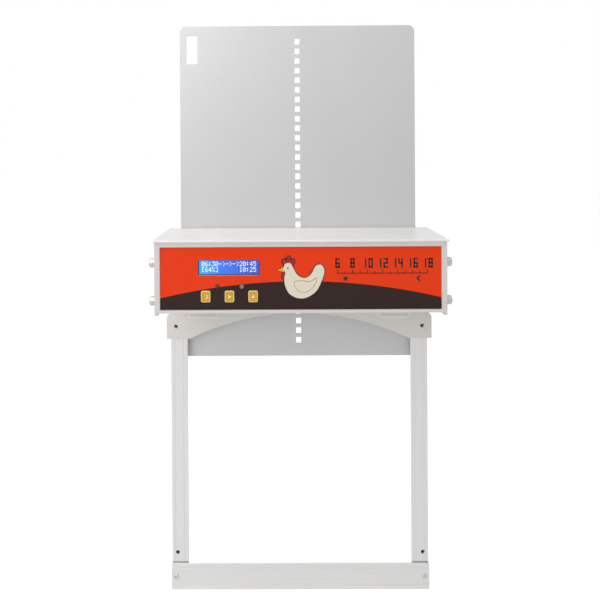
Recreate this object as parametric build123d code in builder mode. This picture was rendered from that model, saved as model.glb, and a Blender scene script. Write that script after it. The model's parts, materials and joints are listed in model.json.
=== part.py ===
from build123d import *
import os
from math import pi

# An automatic sliding door for a chicken coop: a control box on an arched bracket,
# a frame of two side rails and a bottom rail, and a punched sheet door lifted by a sprocket.
# Millimetres. +X right, +Y towards the wall, +Z up.
# Origin: centre of the four wall screws, on the wall. Heights are counted from the underside.

os.makedirs("parts", exist_ok=True)

# ---------------------------------------------------------------- driving dimensions
wall_screw_span_x = 286
wall_screw_span_z = 265
wall_screw_r = 2.25
lower_screw_height = 43
foot_z = -(wall_screw_span_z / 2 + lower_screw_height)

rail_depth = 16
rail_outer_x = 149.5
rail_inner_x = 130
rail_wall = 1.5
rail_top = 417.7
guide_inner_x = 134.2
slot_floor_x = 139.7
slot_y = (-7.1, -4.4)
edge_soft = 0.5

sill_height = 30.7
sill_half_width = 150
sill_front_y = -17.5
sill_t = 1.5

plate_y = (-19, -16)
ear_half_width = 153.9
plate_half_width = 147
ear_bottom = 293.7
ear_top = 322.5
ear_corner_r = 4.5
arch_apex = 323
arch_half_chord = 126.8

box_half_width = 150
end_plate_t = 3
box_front_y = -95
box_back_y = plate_y[0]
sheet_t = 1.5
box_floor = 345.8
box_top = 418.7
end_plate_bottom = 342.9
frame_open_half_width = 144.5
frame_open = (348.9, 413.6)
tab_x = 111
tab_width = 34
tab_bottom = 318
tab_foot = 12

lid_t = 2
lid_half_width = 152
lid_y = (-97, -7.6)

door_half_width = 138.7
door_y = (-6.5, -5.0)
door_bottom = 269
door_height = 390.5
door_corner_r = 7.5
hole_pitch = 11.4
hole_count = 32
hole_size = (6, 7)
finger_slot_x = -124.6
finger_slot_height = 631.8
finger_slot_size = (13.6, 33.8)

sprocket_teeth = 10
sprocket_hole = 23
pitch_r = sprocket_teeth * hole_pitch / (2 * pi)
tooth_reach = 2.0
shaft_r = 3.0
running_gap = 0.05

panel_y = (-93.5, -92.0)
film_t = 0.4
window_centre = (-73.5, 392.2)
window_size = (64.2, 16.0)
button_x = (-97.4, -73.0, -48.7)
button_height = 362.8
button_size = (9.7, 11.8)
button_travel = 0.8
led_place = (-85.3, 373.0)
sensor_place = (-60.2, 373.0)

side_screw_y = -88.5
side_screw_heights = (357.2, 396.5)
side_screw_r = 2.0
screw_gap = 0.15


def up(height):
    """Z of a height above the underside of the bottom rail."""
    return foot_z + height


def span(low, high):
    """Middle and length of a stretch."""
    return (low + high) / 2, high - low


def block(x, y, z, mode=Mode.ADD):
    """A box between two values on each axis."""
    (mid_x, size_x), (mid_y, size_y), (mid_z, size_z) = span(*x), span(*y), span(*z)
    with Locations((mid_x, mid_y, mid_z)):
        Box(size_x, size_y, size_z, mode=mode)


def patch(across, along, mode=Mode.ADD):
    """A rectangle between two values on each axis of the sketch."""
    (mid_a, size_a), (mid_b, size_b) = span(*across), span(*along)
    with Locations((mid_a, mid_b)):
        Rectangle(size_a, size_b, mode=mode)


def to_side(side, pair):
    """A stretch of X on the right (1) or left (-1) side, lowest first."""
    return tuple(sorted(value * side for value in pair))


def centred(middle, size):
    """Low and high values about a middle."""
    return middle - size / 2, middle + size / 2


def rod_y(x, z, y, radius, mode=Mode.ADD):
    """A round bar along Y between two depths."""
    middle, length = span(*y)
    with Locations(Location((x, middle, z), (90, 0, 0))):
        Cylinder(radius, length, mode=mode)


def rod_x(y, z, x, radius, mode=Mode.ADD):
    """A round bar along X between two values."""
    middle, length = span(*x)
    with Locations(Location((middle, y, z), (0, 90, 0))):
        Cylinder(radius, length, mode=mode)


def rod_z(x, y, z, radius, mode=Mode.ADD):
    """A round bar along Z between two values."""
    middle, length = span(*z)
    with Locations((x, y, middle)):
        Cylinder(radius, length, mode=mode)


def pan_screw(head_r, head_h, shank_r, shank_l):
    """A cross-recessed pan screw. Its head sits on the plane z = 0, above it."""
    recess = head_r * 0.32
    with BuildPart() as screw:
        Cylinder(head_r, head_h, align=(Align.CENTER, Align.CENTER, Align.MIN))
        fillet(screw.edges().group_by(Axis.Z)[-1], head_h * 0.42)
        with Locations((0, 0, head_h)):
            Box(4 * recess, recess * 0.6, head_h * 0.8, mode=Mode.SUBTRACT)
            Box(recess * 0.6, 4 * recess, head_h * 0.8, mode=Mode.SUBTRACT)
        Cylinder(shank_r, shank_l, align=(Align.CENTER, Align.CENTER, Align.MAX))
    return screw.part


def blind_rivet(head_r, head_h, shank_r, shank_l):
    """A blind rivet with a low domed head, a hollow core and the snapped mandrel in it."""
    with BuildPart() as rivet:
        Cylinder(head_r, head_h, align=(Align.CENTER, Align.CENTER, Align.MIN))
        fillet(rivet.edges().group_by(Axis.Z)[-1], head_h * 0.8)
        Cylinder(shank_r, shank_l, align=(Align.CENTER, Align.CENTER, Align.MAX))
        with Locations((0, 0, head_h)):
            Cylinder(shank_r * 0.7, head_h * 1.2, mode=Mode.SUBTRACT)
    return rivet.part


def facing_front(x, y, z):
    """Places a fastener with its head on the plane at depth y, looking to the front."""
    return Location((x, y, z), (90, 0, 0))


def facing_side(side, x, y, z):
    """Places a fastener with its head outwards on the right (1) or left (-1) side."""
    return Location((x, y, z), (0, 90 * side, 0))


def lead(points, bend_r, wire_r):
    """An insulated wire along straight runs joined by arcs."""
    with BuildPart() as wire:
        with BuildLine() as path:
            FilletPolyline(*points, radius=bend_r)
        with BuildSketch(Plane(origin=points[0], z_dir=path.line % 0)):
            Circle(wire_r)
        sweep()
    return wire.part


sides = {"left": -1, "right": 1}
back_y = (box_back_y - sheet_t, box_back_y)
wall_screw_x = wall_screw_span_x / 2
upper_screw_height = lower_screw_height + wall_screw_span_z
wall_screw_heights = (lower_screw_height, upper_screw_height)

# ---------------------------------------------------------------- frame
# Each rail is a hollow guide for the door's edge, with a thin front lip that reaches further in.
chamber_x = (guide_inner_x + rail_wall, rail_outer_x - rail_wall)
chamber_y = (-rail_depth + rail_wall, slot_y[0] - rail_wall)
front_wall_y = (-rail_depth - 1, chamber_y[0] + 1)
face_lines_x = (134.6, 145.2)
face_line_size = (0.9, 0.3)
tie_bar_heights = (364, 394)
tie_bar_t = 1.5
tie_bar_gap = 0.2
tie_pin_x = 143.5
tie_pin_heights = (371, 387)
tie_pin_r = 1.6
rivet_r = 1.6
rivet_hole_r = 1.65
bracket_rivet_x = 139.5
bracket_rivet_heights = (350, 408)
corner_rivet_x = 144.5
corner_rivet_height = 15.6

for name, side in sides.items():
    with BuildPart() as rail:
        with BuildSketch(Plane.XY.offset(up(sill_t))) as rail_profile:
            patch(to_side(side, (guide_inner_x, rail_outer_x)), (-rail_depth, 0))
            patch(to_side(side, (rail_inner_x, rail_outer_x)), (-rail_depth, -rail_depth + rail_wall))
            fillet(rail_profile.vertices(), edge_soft)
            patch(to_side(side, chamber_x), chamber_y, Mode.SUBTRACT)
            patch(to_side(side, (guide_inner_x, slot_floor_x)), slot_y, Mode.SUBTRACT)
            with Locations([(x * side, -rail_depth) for x in face_lines_x]):
                Rectangle(face_line_size[0], 2 * face_line_size[1], mode=Mode.SUBTRACT)
        extrude(amount=rail_top - sill_t)
        for height in wall_screw_heights:
            rod_y(wall_screw_x * side, up(height), (-rail_depth - 1, 1), wall_screw_r, Mode.SUBTRACT)
        notch_z = (up(tie_bar_heights[0]), up(tie_bar_heights[1]))
        block(to_side(side, (rail_inner_x, rail_outer_x + 1)), (-tie_bar_t, 1), notch_z, Mode.SUBTRACT)
        for height in bracket_rivet_heights:
            rod_y(bracket_rivet_x * side, up(height), front_wall_y, rivet_hole_r, Mode.SUBTRACT)
        rod_y(corner_rivet_x * side, up(corner_rivet_height), front_wall_y, rivet_hole_r, Mode.SUBTRACT)
        for height in tie_pin_heights:
            rod_y(tie_pin_x * side, up(height), (chamber_y[1] + 0.6, 1), rivet_hole_r, Mode.SUBTRACT)
    rail.part.label = f"rail_{name}"
    export_step(rail.part, f"parts/rail_{name}.step")

# The bottom rail is an angle: a front wall that hides the closed door's edge, and a thin floor.
sill_line_heights = (6.5, 25.5)
with BuildPart() as bottom_rail:
    with BuildSketch(Plane.YZ.offset(-sill_half_width)) as sill_profile:
        patch((sill_front_y, sill_front_y + sill_t), (up(0), up(sill_height)))
        patch((sill_front_y, 0), (up(0), up(sill_t)))
        fillet(sill_profile.vertices(), edge_soft)
        with Locations([(sill_front_y, up(height)) for height in sill_line_heights]):
            Rectangle(2 * face_line_size[1], face_line_size[0], mode=Mode.SUBTRACT)
    extrude(amount=2 * sill_half_width)
    for side in sides.values():
        sill_wall_y = (sill_front_y - 1, sill_front_y + sill_t + 1)
        rod_y(corner_rivet_x * side, up(corner_rivet_height), sill_wall_y, rivet_hole_r, Mode.SUBTRACT)
bottom_rail.part.label = "bottom_rail"
export_step(bottom_rail.part, "parts/bottom_rail.step")

corner_rivet = blind_rivet(3.0, 1.1, rivet_r, 5.0)
with BuildPart() as corner_rivets:
    for side in sides.values():
        with Locations(facing_front(corner_rivet_x * side, sill_front_y, up(corner_rivet_height))):
            add(corner_rivet)
corner_rivets.part.label = "corner_rivets"
export_step(corner_rivets.part, "parts/corner_rivets.step")

with BuildPart() as rear_tie_bar:
    bar_z = (up(tie_bar_heights[0] + tie_bar_gap), up(tie_bar_heights[1] - tie_bar_gap))
    block((-rail_outer_x, rail_outer_x), (-tie_bar_t, 0), bar_z)
    for side in sides.values():
        for height in tie_pin_heights:
            rod_y(tie_pin_x * side, up(height), (-tie_bar_t - 1, 1), rivet_hole_r, Mode.SUBTRACT)
rear_tie_bar.part.label = "rear_tie_bar"
export_step(rear_tie_bar.part, "parts/rear_tie_bar.step")

with BuildPart() as tie_bar_pins:
    for side in sides.values():
        for height in tie_pin_heights:
            rod_y(tie_pin_x * side, up(height), (chamber_y[1] + 0.8, -0.1), tie_pin_r)
tie_bar_pins.part.label = "tie_bar_pins"
export_step(tie_bar_pins.part, "parts/tie_bar_pins.step")

pad_x = (-14, 14)
pad_front_y = -4.6
pad_heights = (366, 392)
pad_tooth_way_x = (-4, 4)
pad_tooth_way_floor = -2.6
with BuildPart() as wear_pad:
    block(pad_x, (pad_front_y, -tie_bar_t), (up(pad_heights[0]), up(pad_heights[1])))
    tooth_way_y = (pad_front_y - 1, pad_tooth_way_floor)
    block(pad_tooth_way_x, tooth_way_y, (up(pad_heights[0] - 1), up(pad_heights[1] + 1)), Mode.SUBTRACT)
    chamfer(wear_pad.edges().filter_by(Axis.X).group_by(Axis.Y)[0], 0.8)
wear_pad.part.label = "wear_pad"
export_step(wear_pad.part, "parts/wear_pad.step")

# ---------------------------------------------------------------- arched bracket
drive_axis_height = door_bottom + door_height - (door_height - (hole_count - 1) * hole_pitch) / 2
drive_axis_height -= sprocket_hole * hole_pitch
drive_axis_y = (door_y[0] + door_y[1]) / 2 - pitch_r
drive_window_x = (-13, 38)
drive_window = (355, 402.5)
box_screw_places = [(x, height) for x in (-95, 95) for height in (361, 401)]
bracket_rivet_places = [(x, height) for x in (-bracket_rivet_x, bracket_rivet_x)
                        for height in bracket_rivet_heights]
box_screw_hole_r = 2.05
plate_through_y = (back_y[0] - 1, plate_y[1] + 1)
plunger_place = (finger_slot_x, 387.2)
plunger_hole_r = 2.3
arch_rise = arch_apex - ear_bottom
arch_r = (arch_half_chord**2 + arch_rise**2) / (2 * arch_rise)

with BuildPart() as arch_bracket:
    with BuildSketch(Plane.XZ.offset(-plate_y[1])) as bracket_face:
        z, h = span(up(ear_bottom), up(ear_top))
        with Locations((0, z)):
            Rectangle(2 * ear_half_width, h)
        fillet(bracket_face.vertices().group_by(Axis.Y)[-1], ear_corner_r)
        z, h = span(up(ear_bottom), up(box_top - 1))
        with Locations((0, z)):
            Rectangle(2 * plate_half_width, h)
        fillet(bracket_face.vertices().group_by(Axis.Y)[0], 1)
        with Locations((0, up(arch_apex) - arch_r)):
            Circle(arch_r, mode=Mode.SUBTRACT)
        (x, w), (z, h) = span(*drive_window_x), span(*drive_window)
        with Locations((x, up(z))):
            Rectangle(w, h, mode=Mode.SUBTRACT)
    extrude(amount=plate_y[1] - plate_y[0])
    for side in sides.values():
        rod_y(wall_screw_x * side, up(upper_screw_height), plate_through_y, wall_screw_r, Mode.SUBTRACT)
    for x, height in box_screw_places:
        rod_y(x, up(height), plate_through_y, box_screw_hole_r, Mode.SUBTRACT)
    for x, height in bracket_rivet_places:
        rod_y(x, up(height), plate_through_y, rivet_hole_r, Mode.SUBTRACT)
    rod_y(plunger_place[0], up(plunger_place[1]), plate_through_y, plunger_hole_r, Mode.SUBTRACT)
arch_bracket.part.label = "arch_bracket"
export_step(arch_bracket.part, "parts/arch_bracket.step")

bracket_rivet = blind_rivet(3.0, 1.2, rivet_r, 5.2)
with BuildPart() as bracket_rivets:
    for x, height in bracket_rivet_places:
        with Locations(facing_front(x, plate_y[0], up(height))):
            add(bracket_rivet)
bracket_rivets.part.label = "bracket_rivets"
export_step(bracket_rivets.part, "parts/bracket_rivets.step")

# ---------------------------------------------------------------- door
with BuildPart() as door_panel:
    with BuildSketch(Plane.XZ.offset(-door_y[1])) as door_face:
        with Locations((0, up(door_bottom + door_height / 2))):
            Rectangle(2 * door_half_width, door_height)
        fillet(door_face.vertices().group_by(Axis.Y)[-1], door_corner_r)
        fillet(door_face.vertices().group_by(Axis.Y)[0], 2)
        with Locations((0, up(door_bottom + door_height / 2))):
            with GridLocations(0, hole_pitch, 1, hole_count):
                Rectangle(*hole_size, mode=Mode.SUBTRACT)
        with Locations((finger_slot_x, up(finger_slot_height))):
            RectangleRounded(*finger_slot_size, 1.5, mode=Mode.SUBTRACT)
    extrude(amount=door_y[1] - door_y[0])
door_panel.part.label = "door_panel"
export_step(door_panel.part, "parts/door_panel.step")

# ---------------------------------------------------------------- box shell
inner_x = box_half_width - end_plate_t
floor_z = (up(box_floor), up(box_floor + sheet_t))
jack_y = -80
power_jack_x = -48
power_jack_r = 3.65
sensor_jack_x = -28.9
sensor_jack_r = 2.9
rear_flange_x = (inner_x - sheet_t, inner_x)
rear_flange_y = (-42, box_back_y - sheet_t)
end_rivet_y = -32
end_rivet_heights = (358, 404)
rivet_clearance_r = 4
socket_gap = 0.1

with BuildPart() as box_body:
    block((-inner_x, inner_x), (box_front_y, box_back_y), floor_z)
    block((-inner_x, inner_x), back_y, (up(box_floor), up(box_top)))
    block((-inner_x, inner_x), (box_front_y, panel_y[0]), (up(box_floor), up(box_top)))
    opening_x = (-frame_open_half_width, frame_open_half_width)
    opening_z = (up(frame_open[0]), up(frame_open[1]))
    block(opening_x, (box_front_y - 1, panel_y[0] + 0.5), opening_z, Mode.SUBTRACT)
    for side in sides.values():
        flange_heights = (up(box_floor + sheet_t), up(box_top - 10))
        block(to_side(side, rear_flange_x), rear_flange_y, flange_heights)
        for height in end_rivet_heights:
            hole_x = to_side(side, (rear_flange_x[0] - 1, rear_flange_x[1] + 1))
            rod_x(end_rivet_y, up(height), hole_x, rivet_hole_r, Mode.SUBTRACT)
    drive_window_z = (up(drive_window[0]), up(drive_window[1]))
    block(drive_window_x, (back_y[0] - 1, back_y[1] + 1), drive_window_z, Mode.SUBTRACT)
    for x, height in box_screw_places:
        rod_y(x, up(height), plate_through_y, box_screw_hole_r, Mode.SUBTRACT)
    for x, height in bracket_rivet_places:
        rod_y(x, up(height), plate_through_y, rivet_clearance_r, Mode.SUBTRACT)
    rod_y(plunger_place[0], up(plunger_place[1]), plate_through_y, plunger_hole_r, Mode.SUBTRACT)
    socket_z = (floor_z[0] - 1, floor_z[1] + 1)
    rod_z(power_jack_x, jack_y, socket_z, power_jack_r + socket_gap, Mode.SUBTRACT)
    rod_z(sensor_jack_x, jack_y, socket_z, sensor_jack_r + socket_gap, Mode.SUBTRACT)
box_body.part.label = "box_body"
export_step(box_body.part, "parts/box_body.step")

# Two straps, each an angle welded under the box and lying on the bracket's face.
with BuildPart() as hanger_tabs:
    for side in sides.values():
        tab_span = centred(tab_x * side, tab_width)
        block(tab_span, back_y, (up(tab_bottom), up(box_floor)))
        block(tab_span, (back_y[1] - tab_foot, back_y[1]), (up(box_floor - sheet_t), up(box_floor)))
    fillet(hanger_tabs.edges().filter_by(Axis.Y).group_by(Axis.Z)[0], 1.5)
hanger_tabs.part.label = "hanger_tabs"
export_step(hanger_tabs.part, "parts/hanger_tabs.step")

for name, side in sides.items():
    with BuildPart() as end_plate:
        plate_x = to_side(side, (inner_x, box_half_width))
        block(plate_x, (box_front_y, box_back_y), (up(end_plate_bottom), up(box_top)))
        fillet(end_plate.edges().filter_by(Axis.X), 1.5)
        for height in side_screw_heights:
            hole_x = to_side(side, (inner_x - 1, box_half_width + 1))
            rod_x(side_screw_y, up(height), hole_x, side_screw_r + screw_gap, Mode.SUBTRACT)
        for height in end_rivet_heights:
            rod_x(end_rivet_y, up(height), hole_x, rivet_hole_r, Mode.SUBTRACT)
    end_plate.part.label = f"end_plate_{name}"
    export_step(end_plate.part, f"parts/end_plate_{name}.step")

lid_lip_x = (143.6, 145.1)
lid_lip_y = (-82, -26)
lid_lip_drop = 8
with BuildPart() as lid:
    block((-lid_half_width, lid_half_width), lid_y, (up(box_top), up(box_top + lid_t)))
    fillet(lid.edges().filter_by(Axis.Z), 1.5)
    fillet(lid.edges().group_by(Axis.Z)[-1], 0.6)
    for side in sides.values():
        block(to_side(side, lid_lip_x), lid_lip_y, (up(box_top - lid_lip_drop), up(box_top)))
lid.part.label = "lid"
export_step(lid.part, "parts/lid.step")

post_x = (137, inner_x)
post_y = (-91.8, -84)
post_heights = (350, 408)
with BuildPart() as corner_posts:
    for side in sides.values():
        block(to_side(side, post_x), post_y, (up(post_heights[0]), up(post_heights[1])))
        for height in side_screw_heights:
            hole_x = to_side(side, (post_x[0] - 1, post_x[1] + 1))
            rod_x(side_screw_y, up(height), hole_x, side_screw_r + running_gap, Mode.SUBTRACT)
corner_posts.part.label = "corner_posts"
export_step(corner_posts.part, "parts/corner_posts.step")

# Each side screw stacks a flat washer, a split spring washer and a pan head on the end plate.
flat_washer = (5.5, 1.0)
spring_washer = (4.5, 1.3)
side_head = (4.75, 3.7)
side_stack = flat_washer[1] + spring_washer[1]
side_places = [(side, height) for side in sides.values() for height in side_screw_heights]

with BuildPart() as flat_washer_shape:
    Cylinder(flat_washer[0], flat_washer[1], align=(Align.CENTER, Align.CENTER, Align.MIN))
    Cylinder(side_screw_r + screw_gap, 4 * flat_washer[1], mode=Mode.SUBTRACT)
    chamfer(flat_washer_shape.edges().group_by(Axis.Z)[-1].sort_by(SortBy.RADIUS)[-1], 0.2)

with BuildPart() as spring_washer_shape:
    with Locations((0, 0, flat_washer[1])):
        Cylinder(spring_washer[0], spring_washer[1], align=(Align.CENTER, Align.CENTER, Align.MIN))
    Cylinder(side_screw_r + 2 * screw_gap, 4 * (flat_washer[1] + spring_washer[1]), mode=Mode.SUBTRACT)
    with Locations(Location((spring_washer[0], 0, flat_washer[1] + spring_washer[1] / 2), (0, 0, 20))):
        Box(2 * spring_washer[0], 0.8, 3, mode=Mode.SUBTRACT)

side_screw = pan_screw(side_head[0], side_head[1], side_screw_r, side_stack + end_plate_t + 9)

with BuildPart() as side_flat_washers:
    for side, height in side_places:
        with Locations(facing_side(side, box_half_width * side, side_screw_y, up(height))):
            add(flat_washer_shape.part)
side_flat_washers.part.label = "side_flat_washers"
export_step(side_flat_washers.part, "parts/side_flat_washers.step")

with BuildPart() as side_spring_washers:
    for side, height in side_places:
        with Locations(facing_side(side, box_half_width * side, side_screw_y, up(height))):
            add(spring_washer_shape.part)
side_spring_washers.part.label = "side_spring_washers"
export_step(side_spring_washers.part, "parts/side_spring_washers.step")

with BuildPart() as side_screws:
    for side, height in side_places:
        with Locations(facing_side(side, (box_half_width + side_stack) * side, side_screw_y, up(height))):
            add(side_screw)
side_screws.part.label = "side_screws"
export_step(side_screws.part, "parts/side_screws.step")

end_rivet = blind_rivet(3.0, 1.0, rivet_r, 5.0)
with BuildPart() as end_plate_rivets:
    for side in sides.values():
        for height in end_rivet_heights:
            with Locations(facing_side(side, box_half_width * side, end_rivet_y, up(height))):
                add(end_rivet)
end_plate_rivets.part.label = "end_plate_rivets"
export_step(end_plate_rivets.part, "parts/end_plate_rivets.step")

box_screw = pan_screw(3.8, 2.4, 2.0, 9)
with BuildPart() as box_screws:
    for x, height in box_screw_places:
        with Locations(facing_front(x, back_y[0], up(height))):
            add(box_screw)
box_screws.part.label = "box_screws"
export_step(box_screws.part, "parts/box_screws.step")

nut_across_flats = 7
nut_height = 3.2
with BuildPart() as box_nuts:
    with BuildSketch(Plane.XZ.offset(-plate_y[1])):
        with Locations([(x, up(height)) for x, height in box_screw_places]):
            RegularPolygon(nut_across_flats / 2, 6, major_radius=False)
            Circle(box_screw_hole_r, mode=Mode.SUBTRACT)
    extrude(amount=-nut_height)
box_nuts.part.label = "box_nuts"
export_step(box_nuts.part, "parts/box_nuts.step")

# ---------------------------------------------------------------- front panel and display
window_x, window_z = window_centre[0], up(window_centre[1])
panel_half_width = inner_x - 0.3
panel_heights = (347.6, 417.9)
button_gap = 0.25
led_r = 2.0
sensor_r = 2.3


def panel_cut_outs(grow=0.0):
    """The window, the button openings and the two round holes, as one sketch on the XZ plane."""
    with BuildSketch(Plane.XZ) as cuts:
        with Locations((window_x, window_z)):
            RectangleRounded(window_size[0] + grow, window_size[1] + grow, 1.3)
        with Locations([(x, up(button_height)) for x in button_x]):
            RectangleRounded(button_size[0] + 2 * button_gap, button_size[1] + 2 * button_gap, 1.9)
        with Locations((led_place[0], up(led_place[1]))):
            Circle(led_r + 0.2)
        with Locations((sensor_place[0], up(sensor_place[1]))):
            Circle(sensor_r + 0.2)
    return cuts.sketch


cut_tool = extrude(panel_cut_outs(), amount=10, both=True)

with BuildPart() as front_panel:
    block((-panel_half_width, panel_half_width), panel_y, (up(panel_heights[0]), up(panel_heights[1])))
    with Locations((0, panel_y[0], 0)):
        add(cut_tool, mode=Mode.SUBTRACT)
front_panel.part.label = "front_panel"
export_step(front_panel.part, "parts/front_panel.step")

with BuildPart() as front_overlay:
    film_x = (-frame_open_half_width + 0.3, frame_open_half_width - 0.3)
    film_z = (up(frame_open[0] + 0.3), up(frame_open[1] - 0.3))
    block(film_x, (panel_y[0] - film_t, panel_y[0]), film_z)
    fillet(front_overlay.edges().filter_by(Axis.Y), 1.0)
    with Locations((0, panel_y[0], 0)):
        add(cut_tool, mode=Mode.SUBTRACT)
front_overlay.part.label = "front_overlay"
export_step(front_overlay.part, "parts/front_overlay.step")

with BuildPart() as lcd_window:
    with BuildSketch(Plane.XZ.offset(-(panel_y[0] + 1.2))):
        with Locations((window_x, window_z)):
            RectangleRounded(window_size[0] - 0.3, window_size[1] - 0.3, 1.15)
    extrude(amount=1.0)
lcd_window.part.label = "lcd_window"
export_step(lcd_window.part, "parts/lcd_window.step")

bezel_size = (71.2, 24.2)
lcd_board_size = (80, 36)
glass_y = (-90.9, -88.6)
backlight_y = (-88.5, -86.6)
lcd_board_y = (-86.5, -84.9)
control_board_y = (-80.0, -78.4)
bezel_y = (panel_y[1] + 0.1, lcd_board_y[0])
board_hole = (37.5, 15.5)


with BuildPart() as lcd_bezel:
    block(centred(window_x, bezel_size[0]), bezel_y, centred(window_z, bezel_size[1]))
    window_depth = (bezel_y[0] - 1, bezel_y[0] + 2)
    block(centred(window_x, window_size[0] + 0.4), window_depth, centred(window_z, window_size[1] + 0.4),
          Mode.SUBTRACT)
    hollow_y = (bezel_y[0] + 0.8, bezel_y[1] + 1)
    block(centred(window_x, bezel_size[0] - 2), hollow_y, centred(window_z, bezel_size[1] - 2), Mode.SUBTRACT)
lcd_bezel.part.label = "lcd_bezel"
export_step(lcd_bezel.part, "parts/lcd_bezel.step")

glass_size = (bezel_size[0] - 2.2, bezel_size[1] - 2.2)
with BuildPart() as lcd_glass:
    block(centred(window_x, glass_size[0]), glass_y, centred(window_z, glass_size[1]))
lcd_glass.part.label = "lcd_glass"
export_step(lcd_glass.part, "parts/lcd_glass.step")

with BuildPart() as lcd_backlight:
    block(centred(window_x, glass_size[0]), backlight_y, centred(window_z, glass_size[1]))
lcd_backlight.part.label = "lcd_backlight"
export_step(lcd_backlight.part, "parts/lcd_backlight.step")

board_hole_places = [(window_x + x, window_z + z) for x in (-board_hole[0], board_hole[0])
                     for z in (-board_hole[1], board_hole[1])]
board_screw_r = 1.25
board_hole_r = board_screw_r + 0.1
spacer_r = 2.4
control_board_x = (-118, -26)
control_board_heights = (355.5, 412)

with BuildPart() as lcd_board:
    block(centred(window_x, lcd_board_size[0]), lcd_board_y, centred(window_z, lcd_board_size[1]))
    for x, z in board_hole_places:
        rod_y(x, z, (lcd_board_y[0] - 1, lcd_board_y[1] + 1), board_hole_r, Mode.SUBTRACT)
lcd_board.part.label = "lcd_board"
export_step(lcd_board.part, "parts/lcd_board.step")

with BuildPart() as control_board:
    block(control_board_x, control_board_y, (up(control_board_heights[0]), up(control_board_heights[1])))
    for x, z in board_hole_places:
        rod_y(x, z, (control_board_y[0] - 1, control_board_y[1] + 1), board_hole_r, Mode.SUBTRACT)
control_board.part.label = "control_board"
export_step(control_board.part, "parts/control_board.step")

with BuildPart() as board_spacers:
    for x, z in board_hole_places:
        rod_y(x, z, (panel_y[1], lcd_board_y[0]), spacer_r)
        rod_y(x, z, (lcd_board_y[1], control_board_y[0]), spacer_r)
        rod_y(x, z, (panel_y[1] - 1, control_board_y[0] + 1), board_hole_r, Mode.SUBTRACT)
board_spacers.part.label = "board_spacers"
export_step(board_spacers.part, "parts/board_spacers.step")

board_screw = pan_screw(2.3, 1.7, board_screw_r, 13)
with BuildPart() as board_screws:
    for x, z in board_hole_places:
        with Locations(Location((x, control_board_y[1], z), (-90, 0, 0))):
            add(board_screw)
board_screws.part.label = "board_screws"
export_step(board_screws.part, "parts/board_screws.step")

# Each chip stands on the board's back: X, how far it stands out, and its heights.
chips = (((-75, -61), 2.0, (376, 390)), ((-102, -94), 1.6, (384, 394)), ((-50, -40), 4.4, (368, 373)))
capacitor = (-95, 366, 10.4, 4)
with BuildPart() as board_chips:
    for chip_x, standing, heights in chips:
        block(chip_x, (control_board_y[1], control_board_y[1] + standing), (up(heights[0]), up(heights[1])))
    x, height, standing, radius = capacitor
    rod_y(x, up(height), (control_board_y[1], control_board_y[1] + standing), radius)
board_chips.part.label = "board_chips"
export_step(board_chips.part, "parts/board_chips.step")

switch_size = 6
switch_base_y = (-83.5, control_board_y[0])
switch_stem_y = (-89.4, control_board_y[0])
with BuildPart() as tact_switches:
    for x in button_x:
        block(centred(x, switch_size), switch_base_y, centred(up(button_height), switch_size))
        rod_y(x, up(button_height), switch_stem_y, 1.75)
tact_switches.part.label = "tact_switches"
export_step(tact_switches.part, "parts/tact_switches.step")

cap_front_y = panel_y[0] - film_t - 0.9
cap_corner_r = 1.7
flange_reach = 1.1
flange_back_y = panel_y[1] + 0.9
for name, x in zip(("return", "next", "up"), button_x):
    with BuildPart() as button:
        with BuildSketch(Plane.XZ.offset(-flange_back_y)):
            with Locations((x, up(button_height))):
                RectangleRounded(button_size[0], button_size[1], cap_corner_r)
        extrude(amount=flange_back_y - cap_front_y)
        fillet(button.edges().group_by(Axis.Y)[0], edge_soft)
        flange_size = (button_size[0] + 2 * flange_reach, button_size[1] + 2 * flange_reach)
        flange_y = (panel_y[1] + running_gap, flange_back_y)
        block(centred(x, flange_size[0]), flange_y, centred(up(button_height), flange_size[1]))
        rod_y(x, up(button_height), (panel_y[1] + 0.5, switch_stem_y[0] - button_travel - 0.2), 1.6)
    button.part.label = f"button_{name}"
    export_step(button.part, f"parts/button_{name}.step")


def round_lens(place, radius):
    """A domed lens in a panel hole, with its rim behind the panel and two legs to the board."""
    x, z = place[0], up(place[1])
    with BuildPart() as lens:
        rod_y(x, z, (panel_y[0] - film_t, -88.5), radius)
        with Locations((x, panel_y[0] - film_t, z)):
            Sphere(radius)
        block((x - 8, x + 8), (-100, panel_y[0] - film_t - 0.9), (z - 8, z + 8), Mode.SUBTRACT)
        rod_y(x, z, (panel_y[1] + 0.1, -89.5), radius + 0.6)
        for offset in (-1.27, 1.27):
            rod_y(x + offset, z, (-89, control_board_y[0]), 0.3)
    return lens.part


status_led = round_lens(led_place, led_r)
status_led.label = "status_led"
export_step(status_led, "parts/status_led.step")

light_sensor = round_lens(sensor_place, sensor_r)
light_sensor.label = "light_sensor"
export_step(light_sensor, "parts/light_sensor.step")

# ---------------------------------------------------------------- sockets under the box
jack_tip = 342.4
for name, x, radius, bore_r in (("power", power_jack_x, power_jack_r, 2.8),
                                ("sensor", sensor_jack_x, sensor_jack_r, 1.8)):
    with BuildPart() as jack:
        rod_z(x, jack_y, (up(jack_tip), up(box_floor + sheet_t)), radius)
        body_z = (up(box_floor + sheet_t), up(box_floor + sheet_t + 6.5))
        block(centred(x, 2 * radius + 2.4), centred(jack_y, 2 * radius + 2.4), body_z)
        chamfer(jack.edges().group_by(Axis.Z)[0], 0.4)
        rod_z(x, jack_y, (up(jack_tip - 1), up(box_floor + 4)), bore_r, Mode.SUBTRACT)
        rod_z(x, jack_y, (up(jack_tip + 1), up(box_floor + 5)), bore_r * 0.36)
    jack.part.label = f"{name}_jack"
    export_step(jack.part, f"parts/{name}_jack.step")

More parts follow.
